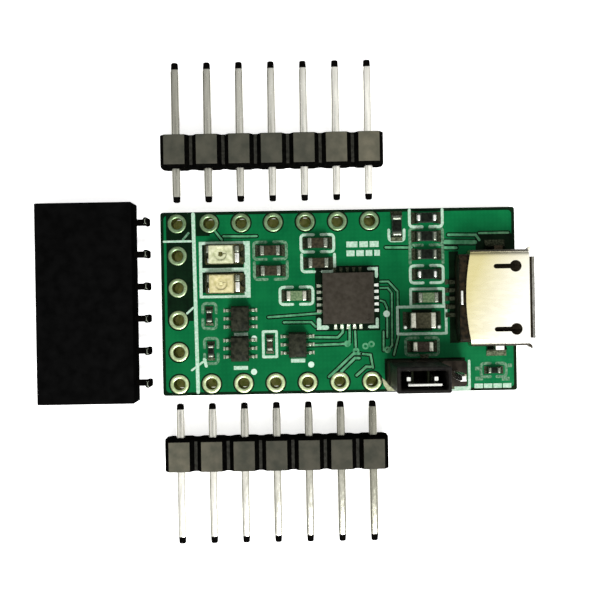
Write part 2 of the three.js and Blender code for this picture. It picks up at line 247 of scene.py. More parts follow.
def combine(form, other, operation):
    """Joins another form to this one, or cuts it away, and leaves one clean solid."""
    objects = []
    for name, part in (("target", form), ("tool", other)):
        bmesh.ops.recalc_face_normals(part.bm, faces=part.bm.faces)
        mesh = bpy.data.meshes.new(name)
        part.bm.to_mesh(mesh)
        objects.append(put(name, mesh))
    boolean = objects[0].modifiers.new("boolean", "BOOLEAN")
    boolean.operation = operation
    boolean.solver = "EXACT"
    boolean.use_self = True
    boolean.object = objects[1]
    depsgraph = bpy.context.evaluated_depsgraph_get()
    result = bpy.data.meshes.new_from_object(objects[0].evaluated_get(depsgraph))
    form.bm.clear()
    form.bm.from_mesh(result)
    for obj in objects:
        bpy.data.objects.remove(obj)
    bpy.data.meshes.remove(result)
    return form


SHARP_ANGLE = 35  # an edge that turns by more than this, in degrees, stays sharp


def piece(name, form, materials, replaces=(), body="board", bevel=0.0):
    """Turns a form into an object that rides on a CAD body."""
    bmesh.ops.recalc_face_normals(form.bm, faces=form.bm.faces)
    bmesh.ops.scale(form.bm, vec=(MM, MM, MM), verts=form.bm.verts)
    mesh = bpy.data.meshes.new(name)
    form.bm.to_mesh(mesh)
    form.bm.free()
    for material in materials:
        mesh.materials.append(material)
    mesh.shade_smooth()
    mesh.set_sharp_from_angle(angle=math.radians(SHARP_ANGLE))
    obj = put(name, mesh)
    if bevel:
        modifier = obj.modifiers.new("edges", "BEVEL")
        modifier.width = bevel * MM
        modifier.segments = 2
        modifier.limit_method = "ANGLE"
        modifier.angle_limit = math.radians(SHARP_ANGLE)
        modifier.harden_normals = True
    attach(obj, body)
    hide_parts(*replaces)
    return obj


# -------- materials


def linear(value):
    value /= 255
    return value / 12.92 if value <= 0.04045 else ((value + 0.055) / 1.055) ** 2.4


def tone(red, green, blue):
    """The surface colour that looks like this sRGB colour under the scene's lights."""
    return tuple(min(linear(value) / LIGHT_LEVEL, 0.95) for value in (red, green, blue))


def add_node(tree, kind, inputs, **settings):
    """A node with its settings, and each input linked to a socket or set to a value."""
    node = tree.nodes.new(kind)
    for key, value in settings.items():
        setattr(node, key, value)
    for key, value in inputs.items():
        if isinstance(value, bpy.types.NodeSocket):
            tree.links.new(value, node.inputs[key])
        else:
            node.inputs[key].default_value = value
    return node


class Finish:
    """The nodes of one material. Sizes and distances are given in millimetres."""

    def __init__(self, name):
        self.material = bpy.data.materials.new(name)
        self.material.use_nodes = True
        self.tree = self.material.node_tree
        self.shader = self.tree.nodes["Principled BSDF"]
        self.place = self.tree.nodes.new("ShaderNodeTexCoord").outputs["Object"]

    def add(self, kind, inputs, **settings):
        return add_node(self.tree, kind, inputs, **settings)

    def noise(self, size, detail=3.0, stretch=(1, 1, 1)):
        """Noise with features of a given size, drawn out along an axis by its stretch."""
        scale = [1 / (size * MM * factor) for factor in stretch]
        scaled = self.add("ShaderNodeMapping", {"Vector": self.place, "Scale": scale})
        inputs = {"Vector": scaled.outputs[0], "Scale": 1.0, "Detail": detail}
        return self.add("ShaderNodeTexNoise", inputs).outputs["Fac"]

    def weave(self, size):
        """The woven glass that shows faintly through a laminate: two crossed sets of threads."""
        scale = 1 / (size * MM) / 3.3  # a wave texture has a little over three bands to the unit
        inputs = {"Vector": self.place, "Scale": scale, "Distortion": 0.4, "Detail": 1.0}
        waves = [self.add("ShaderNodeTexWave", inputs, bands_direction=way) for way in ("X", "Y")]
        threads = {index: wave.outputs["Fac"] for index, wave in enumerate(waves)}
        return self.add("ShaderNodeMath", threads, operation="MULTIPLY").outputs[0]

    def along(self, direction, start, end):
        """A factor that grows from 0 to 1 between two distances along a direction."""
        reach = self.add("ShaderNodeVectorMath", {0: self.place, 1: direction}, operation="DOT_PRODUCT")
        limits = {"Value": reach.outputs["Value"], "From Min": start * MM, "From Max": end * MM}
        return self.add("ShaderNodeMapRange", limits).outputs["Result"]

    def tint(self, tint, factor):
        """Multiplies the colour so far by another, more so as the factor grows."""
        so_far = self.shader.inputs["Base Color"].links[0].from_socket
        inputs = {0: factor, 1: so_far, 2: (*tint, 1.0)}
        mixed = self.add("ShaderNodeMixRGB", inputs, blend_type="MULTIPLY")
        self.tree.links.new(mixed.outputs["Color"], self.shader.inputs["Base Color"])

    def cast(self, cast):
        """Paints light or shade as a tint along a direction, if there is any: its colour, its direction, its
        start and end.
        """
        if cast:
            colour, direction, start, end = cast
            self.tint(colour, self.along(direction, start, end))

    def colour(self, dark, light, factor):
        """A colour between two, where the factor runs through the middle of its range."""
        ramp = self.add("ShaderNodeValToRGB", {"Fac": factor})
        for stop, position, value in zip(ramp.color_ramp.elements, (0.34, 0.66), (dark, light)):
            stop.position = position
            stop.color = (*value, 1.0)
        self.tree.links.new(ramp.outputs["Color"], self.shader.inputs["Base Color"])

    def roughness(self, low, high, factor):
        limits = {"Value": factor, "From Min": 0.3, "From Max": 0.7, "To Min": low, "To Max": high}
        spread = self.add("ShaderNodeMapRange", limits)
        self.tree.links.new(spread.outputs["Result"], self.shader.inputs["Roughness"])

    def relief(self, depth, factor, strength=1.0):
        bump = self.add("ShaderNodeBump", {"Height": factor, "Distance": depth * MM, "Strength": strength})
        self.tree.links.new(bump.outputs["Normal"], self.shader.inputs["Normal"])

    def set(self, **values):
        names = {"metallic": "Metallic", "specular": "Specular IOR Level", "glow": "Emission Strength"}
        for key, value in values.items():
            self.shader.inputs[names[key]].default_value = value


# Directions across the board that painted light and shade follow
NORTH = (0.0, 1.0, 0.0)
EAST = (1.0, 0.0, 0.0)
WEST = (-1.0, 0.0, 0.0)
WEST_NORTH_WEST = (-0.93, 0.37, 0.0)
NORTH_EAST = (0.71, 0.71, 0.0)
SOUTH_EAST = (0.75, -0.66, 0.0)


def solder_mask(name, dark, light, grain, roughness):
    """Green lacquer over glass laminate: a faint weave, and painted light that pales it towards two corners.
    """
    finish = Finish(name)
    blend = {0: finish.weave(0.32), 1: 0.12, 2: finish.noise(grain, detail=4.0)}
    mixed = finish.add("ShaderNodeMath", blend, operation="MULTIPLY_ADD")
    finish.colour(tone(*dark), tone(*light), mixed.outputs[0])
    # painted sheen towards the south-east corner, and painted light lifting the north-east corner
    finish.cast(((3.2, 1.3, 1.4), SOUTH_EAST, 4.0, 14.5))
    finish.cast(((1.1, 1.18, 1.18), NORTH_EAST, 3.0, 11.0))
    finish.roughness(roughness - 0.06, roughness + 0.08, finish.noise(0.09, detail=2.0))
    finish.relief(0.012, mixed.outputs[0], 0.6)
    finish.set(specular=0.03)
    return finish.material


def finished(name, dark, light, cloud, marks, roughness, relief, cast, **values):
    """A colour that changes slowly with one noise, over marks of a finer one."""
    finish = Finish(name)
    finish.colour(dark, light, finish.noise(*cloud))
    finish.cast(cast)
    fine = finish.noise(*marks)
    finish.roughness(*roughness, fine)
    finish.relief(relief[0], fine, relief[1])
    finish.set(**values)
    return finish.material


def moulded(name, dark, light, grain=0.5, depth=0.006, roughness=0.5, specular=0.05, cast=None):
    """Moulded plastic, with a fine spark-eroded grain. Its colours are as they look under the lights."""
    spread = (roughness - 0.08, roughness + 0.1)
    colours = (tone(*dark), tone(*light))
    return finished(name, *colours, (grain,), (0.06, 2.0), spread, (depth, 0.8), cast, specular=specular)


def plated(name, dark, light, grain=0.25, stretch=(1, 1, 1), depth=0.002, roughness=0.25, cast=None):
    """Plated metal: faint cloudiness, and drawing marks where it has a stretch."""
    spread = (roughness - 0.05, roughness + 0.1)
    cloud, marks = (grain, 4.0, stretch), (grain / 4, 2.0, stretch)
    return finished(name, dark, light, cloud, marks, spread, (depth, 0.7), cast, metallic=1.0)


def printed(name, dark, light):
    """Screen-printed ink, thin in places."""
    colours = (tone(*dark), tone(*light))
    return finished(name, *colours, (0.18,), (0.05, 1.0), (0.5, 0.7), (0.004, 0.6), None, specular=0.05)


MASK_BARE = solder_mask("mask_over_laminate", (4, 20, 8), (10, 35, 17), 0.9, 0.42)
MASK_COPPER = solder_mask("mask_over_copper", (3, 100, 55), (10, 114, 63), 1.6, 0.38)
# the traces are real, and their much lighter green is painted highlight along their edges
MASK_TRACE_PAINTED_HIGHLIGHT = solder_mask("mask_over_trace_painted_highlight", (62, 136, 92), (104, 174, 130), 0.5, 0.34)
LAMINATE_EDGE = moulded("laminate_edge", (70, 84, 44), (128, 134, 78), grain=0.12, roughness=0.7)
# the rings darken towards the north: painted shade
GOLD = plated(
    "gold_plate", (0.36, 0.44, 0.22), (0.60, 0.70, 0.42), grain=0.3, roughness=0.3,
    cast=((0.36, 0.46, 0.44), NORTH, -7.5, 5.0),
)
# dark olive plating for the barrels: painted shade down the holes
BARREL_PAINTED_SHADE = plated("barrel_plate_painted_shade", (0.14, 0.16, 0.05), (0.40, 0.42, 0.17), grain=0.2, roughness=0.4)
INK = printed("silkscreen_ink", (166, 212, 180), (216, 240, 222))
# whiter ink for the dots: painted light against the shade near the chips
INK_PAINTED_LIGHT = printed("silkscreen_ink_painted_light", (204, 240, 216), (232, 252, 238))
INK_FAINT = printed("silkscreen_ink_faint", (64, 116, 84), (132, 172, 140))
INK_WARM = printed("silkscreen_ink_warm", (160, 166, 124), (208, 210, 176))
TIN = plated("tin_plate", (0.78, 0.80, 0.74), (0.98, 0.98, 0.95), grain=0.15, roughness=0.2)
# darker copies of the tin plate: painted shade, half and full
TIN_PAINTED_HALF_SHADE = plated("tin_plate_painted_half_shade", (0.40, 0.41, 0.33), (0.62, 0.63, 0.53), grain=0.15, roughness=0.3)
TIN_PAINTED_SHADE = plated("tin_plate_painted_shade", (0.10, 0.12, 0.09), (0.32, 0.34, 0.28), grain=0.1, roughness=0.4)
SOLDER = plated("solder", (0.50, 0.56, 0.50), (0.85, 0.88, 0.82), grain=0.18, depth=0.006)
SOLDER_PAINTED_HALF_SHADE = plated("solder_painted_half_shade", (0.22, 0.27, 0.19), (0.48, 0.52, 0.42), grain=0.18, depth=0.006)
# near-black metal, painted shade: joints and lead roots on the shaded side, the USB contacts, the shunt's
# spring leaves
SOLDER_PAINTED_SHADE = plated(
    "solder_painted_shade", (0.01, 0.014, 0.007), (0.07, 0.08, 0.05), grain=0.1, depth=0.006, roughness=0.55,
)
CHIP = moulded("chip_plastic", (58, 53, 45), (72, 67, 59), grain=0.4, roughness=0.55)
SMALL_CHIP = moulded("small_chip_plastic", (26, 30, 22), (58, 60, 48), grain=0.3)
RESISTOR = moulded("resistor_glaze", (10, 14, 10), (30, 36, 28), grain=0.2, roughness=0.35)
CERAMIC = moulded("ceramic", (36, 46, 38), (66, 78, 66), grain=0.15, roughness=0.6)
CAPACITOR = moulded("capacitor_ceramic", (40, 38, 28), (74, 68, 52), grain=0.2)
CAPACITOR_BROWN = moulded("capacitor_ceramic_brown", (70, 60, 52), (100, 90, 78), grain=0.15)
CAPACITOR_OLIVE = moulded("capacitor_ceramic_olive", (72, 72, 54), (104, 102, 80), grain=0.2)
CAPACITOR_TAN = moulded("capacitor_ceramic_tan", (92, 120, 84), (134, 156, 116), grain=0.15)
LED_BASE = moulded("led_base", (20, 30, 10), (84, 80, 52), grain=0.3)
LED_GREEN = moulded("led_resin_green", (194, 200, 156), (244, 246, 208), grain=0.3, depth=0.002)
LED_AMBER = moulded("led_resin_amber", (206, 198, 140), (240, 230, 180), grain=0.3, depth=0.002)
LED_DIE = moulded("led_die", (60, 62, 28), (110, 108, 60), grain=0.05, roughness=0.4)
LED_DIE_PALE = moulded("led_die_pale", (236, 226, 160), (250, 246, 200), grain=0.05, roughness=0.4)
# the shell's rear darkens to the west-north-west: painted shade
STEEL = plated(
    "usb_steel", (0.96, 0.94, 0.84), (0.99, 0.98, 0.92), grain=1.2, stretch=(3, 1, 1),
    cast=((0.70, 0.64, 0.36), WEST_NORTH_WEST, -13.1, -8.9),
)
STEEL_PAINTED_SHADE = plated("usb_steel_shadowed", (0.02, 0.016, 0.01), (0.05, 0.04, 0.026), grain=0.1, roughness=0.5)
BLACK = moulded("black_plastic", (14, 13, 13), (40, 38, 35), grain=0.35, roughness=0.45)
JUMPER = moulded("jumper_plastic", (36, 32, 27), (64, 57, 48), grain=0.7, roughness=0.45)
INSULATOR = moulded("usb_insulator_plastic", (12, 14, 9), (52, 42, 28), grain=0.3, roughness=0.45)
# each strip's plastic brightens towards one end: painted light
STRIP_A = moulded(
    "strip_plastic_a", (72, 73, 64), (88, 87, 76), grain=0.9,
    cast=((1.9, 1.8, 1.7), EAST, -2.5, 2.5),
)
STRIP_B = moulded(
    "strip_plastic_b", (67, 68, 59), (85, 83, 72), grain=0.9,
    cast=((1.8, 1.75, 1.7), WEST, 7.0, 12.5),
)
STRIP_GROOVE_PAINTED_SHADE = moulded("strip_plastic_groove_painted_shade", (38, 38, 33), (60, 60, 54), grain=0.3, roughness=0.6)
STRIP_SIDES_PAINTED_SHADE = moulded(
    "strip_plastic_sides_painted_shade", (5, 5, 5), (14, 14, 12), grain=0.3, roughness=0.7, specular=0.0,
)
SOCKET = moulded("socket_plastic", (9, 9, 9), (15, 15, 15), grain=0.8, roughness=0.6, specular=0.0)
# each strip's pins darken towards one end: painted shade
PIN_A = plated(
    "pin_plate_a", (0.82, 0.81, 0.74), (0.98, 0.97, 0.90), grain=0.3, stretch=(1, 6, 1), roughness=0.18,
    cast=((0.40, 0.40, 0.37), WEST, -2.0, 12.0),
)
PIN_B = plated(
    "pin_plate_b", (0.68, 0.67, 0.60), (0.84, 0.83, 0.76), grain=0.3, stretch=(1, 6, 1), roughness=0.18,
    cast=((0.38, 0.38, 0.34), EAST, -12.0, 2.5),
)
# near-black for metal in deep shade: painted shade on the pins' nubs and the socket's contacts
BLACK_METAL_PAINTED_SHADE = moulded("metal_black_painted_shade", (4, 4, 4), (16, 15, 13), grain=0.1, roughness=0.8, specular=0.0)


# -------- the circuit board

PITCH = 2.54
BOARD = Node("circuit_board")
TOP = BOARD.high.z
LAMINATE_TOP = TOP - 0.05
COPPER_TOP = TOP - 0.015
LAMINATE_LOW = 0.04
COPPER_LOW = 0.015
BURIED = 0.01  # how far each layer starts inside the one below it
HOLE_RADIUS = 0.44
RING_RADIUS = 0.755
ROUND = 32  # sides of a round hole in the laminate and the copper

COLUMNS = [(column - 5) * PITCH for column in range(7)]
ROWS = (2.5 * PITCH, -2.5 * PITCH)
HOLES = [(x, y) for x in COLUMNS for y in ROWS]
HOLES += [(COLUMNS[0], ROWS[0] - row * PITCH) for row in range(1, 5)]

# Traces on the top side: width, then the path that each follows.
TRACES = [
    # between the microcontroller's left side and the small chips
    (0.16, [(-5.59, -1.16), (-3.8, -1.06), (-1.42, -0.91)]),
    (0.16, [(-4.36, -1.59), (-2.19, -1.61), (-1.86, -1.99)]),
    (0.18, [(-2.63, -2.79), (-0.11, -2.85), (0.28, -2.45), (0.29, -1.9)]),
    (0.18, [(-2.51, -3.44), (0.63, -3.37), (0.8, -3.21), (0.83, -1.92)]),
    # from the microcontroller down to the lower row of holes
    (0.16, [(1.26, -2.4), (1.3, -3.9)]),
    (0.2, [(1.7, -4.18), (1.09, -4.17), (-0.86, -5.96)]),
    (0.2, [(1.55, -4.52), (1.21, -4.51), (0.1, -5.57)]),
    (0.2, [(2.43, -5.23), (2.08, -5.22), (1.32, -5.88)]),
    (0.16, [(1.7, -4.18), (2.45, -4.27), (2.62, -5.29)]),
    # down the right side of the microcontroller
    (0.14, [(3.51, -2.45), (3.48, -3.95)]),
    (0.14, [(3.3, 1.0), (3.9, 1.0), (4.21, 0.6), (4.17, -3.55), (3.82, -3.96)]),
    (0.14, [(3.3, 1.5), (3.95, 1.5), (4.66, 0.7), (4.66, -2.9), (4.3, -4.3)]),
    (0.14, [(3.3, 0.0), (3.6, -0.1), (3.82, -0.6), (3.8, -2.9)]),
    # towards the USB port
    (0.18, [(3.79, 4.2), (5.83, 4.15)]),
    (0.2, [(8.75, 5.11), (10.93, 5.06), (11.2, 4.66)]),
    (0.34, [(8.45, 4.55), (10.85, 4.49)]),
    (0.22, [(8.44, 4.09), (9.36, 4.07)]),
    (0.16, [(11.2, 5.2), (13.5, 5.2)]),
    # above the LEDs
    (0.16, [(-9.02, 5.3), (-7.58, 5.27), (-6.4, 5.27)]),
    (0.16, [(-9.8, 5.87), (-9.16, 5.01)]),
]
VIAS = [(1.3, -3.95), (0.63, -3.37), (2.06, -3.58), (2.53, -3.43), (3.8, -3.9)]

# Where the top side has no copper: corners of rectangles. The dark patches inside the LED frame, behind the
# USB shell and by its far side tab are painted shade.
BARE_AND_SHADE_AREAS = [
    ((-13.55, -1.35), (-11.5, 7.0)),
    ((-11.2, 5.35), (-10.1, 7.0)),
    ((-10.75, 0.85), (-7.5, 4.75)),
    ((8.75, -3.45), (9.5, 3.8)),
    ((5.75, -2.45), (7.35, -0.75)),
    ((3.55, -7.0), (9.9, -4.6)),
    ((-1.85, -2.35), (3.25, 2.8)),
    ((10.9, 3.75), (13.75, 5.15)),
]
BARE_MARGIN = 0.25
TRACE_GAP = 0.1  # bare laminate on each side of a trace


def laminate():
    outline = rounded_rectangle(BOARD.half_x, BOARD.half_y, 0.2)
    holes = [circle(hole, HOLE_RADIUS + 0.04, ROUND) for hole in HOLES]
    form = Form().plate(outline, holes, LAMINATE_LOW, LAMINATE_TOP)
    form.paint(1, lambda centre, normal: abs(normal.z) < 0.5)
    piece("board_laminate", form, [MASK_BARE, LAMINATE_EDGE], ["circuit_board"])


def copper_plane(name, low, high, gaps):
    """A sheet of lacquered copper that stops short of the board's edge and of each hole."""
    outline = rounded_rectangle(BOARD.half_x - BARE_MARGIN, BOARD.half_y - BARE_MARGIN, 0.3)
    form = Form().prism(outline, low, high)
    for hole in HOLES:
        gaps.prism(circle(hole, RING_RADIUS + 0.1, ROUND), low - 0.11, high + 0.11)
    combine(form, gaps, "DIFFERENCE")
    piece(name, form, [MASK_COPPER])


def copper():
    low, high = LAMINATE_TOP - BURIED, COPPER_TOP
    gaps = Form()  # they reach 0.1, 0.11 and 0.12 past the sheet, so no two cuts share a plane
    for low_corner, high_corner in BARE_AND_SHADE_AREAS:
        gaps.prism(rectangle(low_corner, high_corner), low - 0.1, high + 0.1)
    for width, path in TRACES:
        gaps.prism(band(path, width + 2 * TRACE_GAP, cap_steps=6), low - 0.12, high + 0.12)
    copper_plane("copper_plane_top", low, high, gaps)
    copper_plane("copper_plane_bottom", COPPER_LOW, LAMINATE_LOW + BURIED, Form())
    traces = Form()
    for width, path in TRACES:
        traces.prism(band(path, width, cap_steps=6), low, high)
    piece("copper_traces", traces, [MASK_TRACE_PAINTED_HIGHLIGHT])
    vias = Form()
    brim = high + 0.006
    for x, y in VIAS:
        vias.at(x, y, 0).lathe([(0.1, low), (0.26, low), (0.26, brim), (0.12, brim), (0.1, high - 0.02)], 20)
    piece("vias", vias, [MASK_TRACE_PAINTED_HIGHLIGHT])


def plated_holes():
    """Each hole's barrel and the domed ring round it on both sides, as one rivet-like solid."""
    inner, outer, metal, crown = HOLE_RADIUS, RING_RADIUS, 0.06, 0.025
    middle, half = (inner + outer) / 2, (outer - inner) / 2
    dome = [(middle + half * math.cos(a), TOP - 0.03 + (crown + 0.03) * math.sin(a))
            for a in [math.pi * step / 10 for step in range(11)]]
    profile = [(inner, 0.04), (inner + 0.05, 0.0), (outer, 0.0), (outer, metal), (inner + 0.06, metal)]
    profile += [(inner + 0.06, TOP - metal), (outer, TOP - metal), *dome]
    form = Form()
    for x, y in HOLES:
        form.at(x, y, 0).lathe(profile, 40)
    # the barrels' walls get the dark olive plating: painted shade
    form.paint(1, lambda centre, normal: abs(normal.z) < 0.45 and 0.1 < centre.z)
    piece("plated_holes", form, [GOLD, BARREL_PAINTED_SHADE])


# -------- marks on the board

INK_TONES = [INK, INK_FAINT, INK_WARM, INK_PAINTED_LIGHT]
BRIGHT, FAINT, WARM, LIT_INK = range(4)
INK_STEP = 0.00015  # each printed shape is this much lower than the last, so no two share a plane


def silkscreen():
    """Plain lines, frames, dots and bars. There is no lettering."""
    low = LAMINATE_TOP - BURIED
    form = Form()
    steps = itertools.count()

    def top(ink):
        form.index = ink
        return TOP - INK_STEP * next(steps)

    def patch(outline, ink=BRIGHT):
        form.prism(outline, low, top(ink))

    def line(path, width=0.2, radius=0.0, ink=BRIGHT):
        patch(band(rounded_path(path, radius) if radius else path, width, cap_steps=4), ink)

    def bar(x, y, half_x, half_y, ink=BRIGHT):
        patch(rectangle((x - half_x, y - half_y), (x + half_x, y + half_y)), ink)

    def dot(x, y, radius):
        patch(circle((x, y), radius), LIT_INK)

    # the line beside the column of holes, and the small marks by the first holes
    line([(-11.4, 7.1), (-11.23, -7.0)], 0.28)
    line([(-13.75, 4.95), (-11.6, 4.95)], 0.16)
    line([(-12.24, 5.08), (-11.78, 5.6)], 0.16, ink=FAINT)
    line([(-11.5, -0.3), (-12.0, -0.75)], 0.16)
    line([(-11.7, -5.25), (-11.0, -4.75), (-10.6, -4.45)], 0.16)
    line([(-10.7, -4.4), (-10.55, -4.95)], 0.24)

    # the frame with two windows round the LEDs
    outer = rectangle((-10.98, 0.42), (-6.95, 4.88))
    windows = [rectangle((-10.74, bottom), (-7.42, bottom + 1.84)) for bottom in (0.63, 2.8)]
    form.plate(outer, windows, low, top(BRIGHT))

    # corner marks and the first-pin dot of the microcontroller
    chip = Node("mcu_chip")
    reach = chip.half_x + 0.3
    for sign_x, sign_y, width in ((-1, -1, 0.34), (1, -1, 0.24), (1, 1, 0.24)):
        x, y = chip.x + sign_x * reach, chip.y + sign_y * reach
        line([(x - sign_x * 0.62, y), (x, y), (x, y - sign_y * 0.62)], width)
    dot(3.77, -1.05, 0.26)

    # a bar at one end of each small chip, and a dot beside its first lead
    for name, shift in (("regulator_chip", 0.0), ("usb_guard_chip", -0.27), ("logic_chip", 0.0)):
        chip = Node(name)
        bar(chip.x + 0.02, chip.low.y - 0.27 + shift, 0.56, 0.15)
        dot(chip.x + 1.05, chip.low.y - 0.6 + shift, 0.24)

    # two rows of plain bars above the microcontroller
    for y, marks in (
        (4.48, ((1.12, 0.44), (2.05, 0.34), (2.88, 0.36))),
        (3.78, ((1.0, 0.32), (1.76, 0.3), (2.46, 0.26), (3.1, 0.22))),
    ):
        for x, half in marks:
            bar(x, y, half, 0.23)

    # beside the jumper
    line([(10.23, -4.9), (10.23, -7.1)], 0.2)
    bar(9.4, -7.06, 0.85, 0.16)
    patch([(3.3, -6.1), (3.75, -6.5), (4.6, -7.15), (3.75, -7.15), (3.45, -6.7)], WARM)
    for x in (10.95, 11.7, 12.45, 13.2):
        bar(x, -6.88, 0.33, 0.18)
    for x, y, half in ((11.0, -6.3, 0.3), (13.1, -6.35, 0.3), (10.85, -5.5, 0.16), (13.45, -5.3, 0.16)):
        bar(x, y, half, 0.14, FAINT)

    for name, shape in OUTLINES.items():
        component_outline(line, Node(name), shape, FAINT if name in FAINT_OUTLINES else BRIGHT)
    piece("silkscreen", form, INK_TONES)


# How each component's printed outline is drawn: brackets, their sides only, a closed frame, or a U.
OUTLINES = {
    "resistor_1": "lower_brackets", "resistor_2": "brackets", "resistor_3": "sides", "resistor_4": "brackets",
    "resistor_5": "u", "resistor_6": "brackets", "resistor_7": "brackets", "resistor_8": "brackets",
    "capacitor_1": "frame", "capacitor_2": "wide_frame", "capacitor_3": "brackets",
    "capacitor_4": "brackets", "capacitor_5": "lower_brackets", "capacitor_6": "brackets",
    "capacitor_7": "brackets", "capacitor_8": "lower_brackets", "capacitor_9": "frame",
}
FAINT_OUTLINES = (
    "resistor_2", "resistor_3", "resistor_6", "resistor_7", "resistor_8",
    "capacitor_3", "capacitor_7", "capacitor_8",
)
OUTLINE_MARGINS = {"wide_frame": (0.92, 0.44), "u": (0.34, 0.2), "sides": (0.5, 0.3)}  # along, across


def component_outline(line, node, shape, ink):
    upright = node.half_y > node.half_x
    along, across = (node.half_y, node.half_x) if upright else (node.half_x, node.half_y)
    margin_along, margin_across = OUTLINE_MARGINS.get(shape, (0.5, 0.28))
    along += margin_along
    across += margin_across

    def place(a, b):
        return (node.x + b, node.y + a) if upright else (node.x + a, node.y + b)

    corners = [place(-along, -across), place(along, -across), place(along, across), place(-along, across)]
    if shape in ("frame", "wide_frame"):
        for start, end in zip(corners, corners[1:] + corners[:1]):
            line([start, end], 0.21, ink=ink)
        return
    gap = min(0.3, along * 0.25)
    for sign in (-1, 1):
        if shape == "u" and sign == 1:
            continue
        arms = [place(sign * gap, -across), place(sign * along, -across)]
        arms += [place(sign * along, across), place(sign * gap, across)]
        if shape == "lower_brackets":
            arms = arms[:3]
        elif shape == "sides":
            arms = arms[1:3]
        line(arms, 0.22, radius=0.3 if len(arms) > 2 else 0.0, ink=ink)


# -------- solder

solder = Form()  # every joint on the board
SOLDER_SUNK = 0.04  # how far solder starts below the board's surface
# how a joint's solder looks: lit, or darker copies that are painted shade, full or half
LIT, PAINTED_SHADE, PAINTED_HALF_SHADE = range(3)


def solder_section(half, high):
    return [(-half, high), (half, high), (half, -SOLDER_SUNK), (-half, -SOLDER_SUNK)]


def solder_joint(x, y, turn, width, reach, height, painted_lighting=PAINTED_SHADE, under=0.2):
    """The concave fillet that climbs a terminal, whose face is at the point given."""
    half = width / 2
    slope = [(reach, 0.02), (reach * 0.55, 0.1 * height + 0.02), (reach * 0.25, 0.35 * height)]
    slope.append((0.02, height))
    levels = [(solder_section(half + 0.04 * depth / reach, z), depth) for depth, z in slope]
    levels.append((solder_section(half, height / 2), -under))
    solder.index = painted_lighting
    solder.at(x, y, TOP, turn).stack(levels, "x")


def solder_bead(x, y, radius):
    """A small round bead of bright solder on the board."""
    levels = ((1.0, -0.02), (1.0, 0.05), (0.85, 0.13), (0.5, 0.2))
    solder.index = LIT
    solder.at(x, y, TOP).cone((radius * part, z) for part, z in levels)


# -------- components


LAND_PITCH = 0.5  # of the microcontroller
LEAD_PITCH = 0.65  # of the small chips


def microcontroller():
    chip = Node("mcu_chip")
    form = chip.form()
    form.block(chip.half_x, chip.half_y, chip.low.z + 0.02, chip.high.z, corner=0.06, edge=0.04, foot=0.02)
    dimple = Form().at(chip.x + 1.5, chip.y - 1.5, 0)
    dimple.cone(((0.2, chip.high.z - 0.03), (0.24, chip.high.z + 0.1)))
    combine(form, dimple, "DIFFERENCE")
    piece("microcontroller", form, [CHIP], ["mcu_chip"])
    lands = Form()
    for turn in (0, 90, 180, 270):
        angle = math.radians(turn)
        for step in range(-2, 3):
            side = Vector((chip.half_x, step * LAND_PITCH))
            x = chip.x + side.x * math.cos(angle) - side.y * math.sin(angle)
            y = chip.y + side.x * math.sin(angle) + side.y * math.cos(angle)
            lands.at(x, y, TOP, turn).prism(rectangle((-0.2, -0.1), (0.012, 0.1)), 0.0, 0.22)
            # each side's joints are lit or painted shade by the way that side faces
            painted_lighting = {90: PAINTED_SHADE, 0: LIT}.get(turn, PAINTED_HALF_SHADE)
            solder_joint(x, y, turn, width=0.18, reach=0.44, height=0.2, painted_lighting=painted_lighting)
    piece("microcontroller_lands", lands, [TIN_PAINTED_SHADE])


def small_chip(name):
    chip = Node(name)
    parting = chip.low.z + 0.45  # the body is widest where its leads come out
    levels = ((0.06, 0.14, chip.low.z + 0.05), (0.0, 0.0, parting), (0.0, 0.0, parting + 0.06))
    levels += ((0.04, 0.12, chip.high.z - 0.03), (0.07, 0.16, chip.high.z))
    form = chip.form()
    form.stack(
        (rounded_rectangle(chip.half_x - inset_x, chip.half_y - inset_y, 0.05), z)
        for inset_x, inset_y, z in levels
    )
    piece(name + "_body", form, [SMALL_CHIP], [name])
    leads = Form()
    knee, foot, metal = 0.42, 0.07, 0.12
    path = rounded_path([(-0.2, knee), (0.1, knee), (0.18, foot), (0.42, foot)], 0.07)
    for turn in (0, 180):
        for step in (-1, 0, 1):
            x = chip.x + (chip.half_x if turn == 0 else -chip.half_x)
            y = chip.y + step * LEAD_PITCH
            leads.at(x, y, TOP, turn).prism(band(path, metal), -0.11, 0.11, "y")
            toe = x + (0.45 if turn == 0 else -0.45)
            solder_joint(toe, y, turn, width=0.22, reach=0.18, height=0.1, painted_lighting=PAINTED_HALF_SHADE, under=0.05)
    # the leads' roots by the body are painted shade
    leads.paint(1, lambda centre, normal: abs(centre.x - chip.x) < chip.half_x + 0.13)
    piece(name + "_leads", leads, [SOLDER_PAINTED_HALF_SHADE, SOLDER_PAINTED_SHADE], bevel=0.02)


# The components whose terminals are lit where the rest get painted shade, and the bodies that aren't of the
# common colour.
LIT_TERMINALS = ("resistor_1", "resistor_4", "capacitor_2", "capacitor_3", "capacitor_6")
BODY_FINISH = {
    "capacitor_1": CAPACITOR_TAN, "capacitor_2": CAPACITOR_OLIVE, "capacitor_3": CAPACITOR_BROWN,
    "capacitor_6": CAPACITOR_TAN,
}


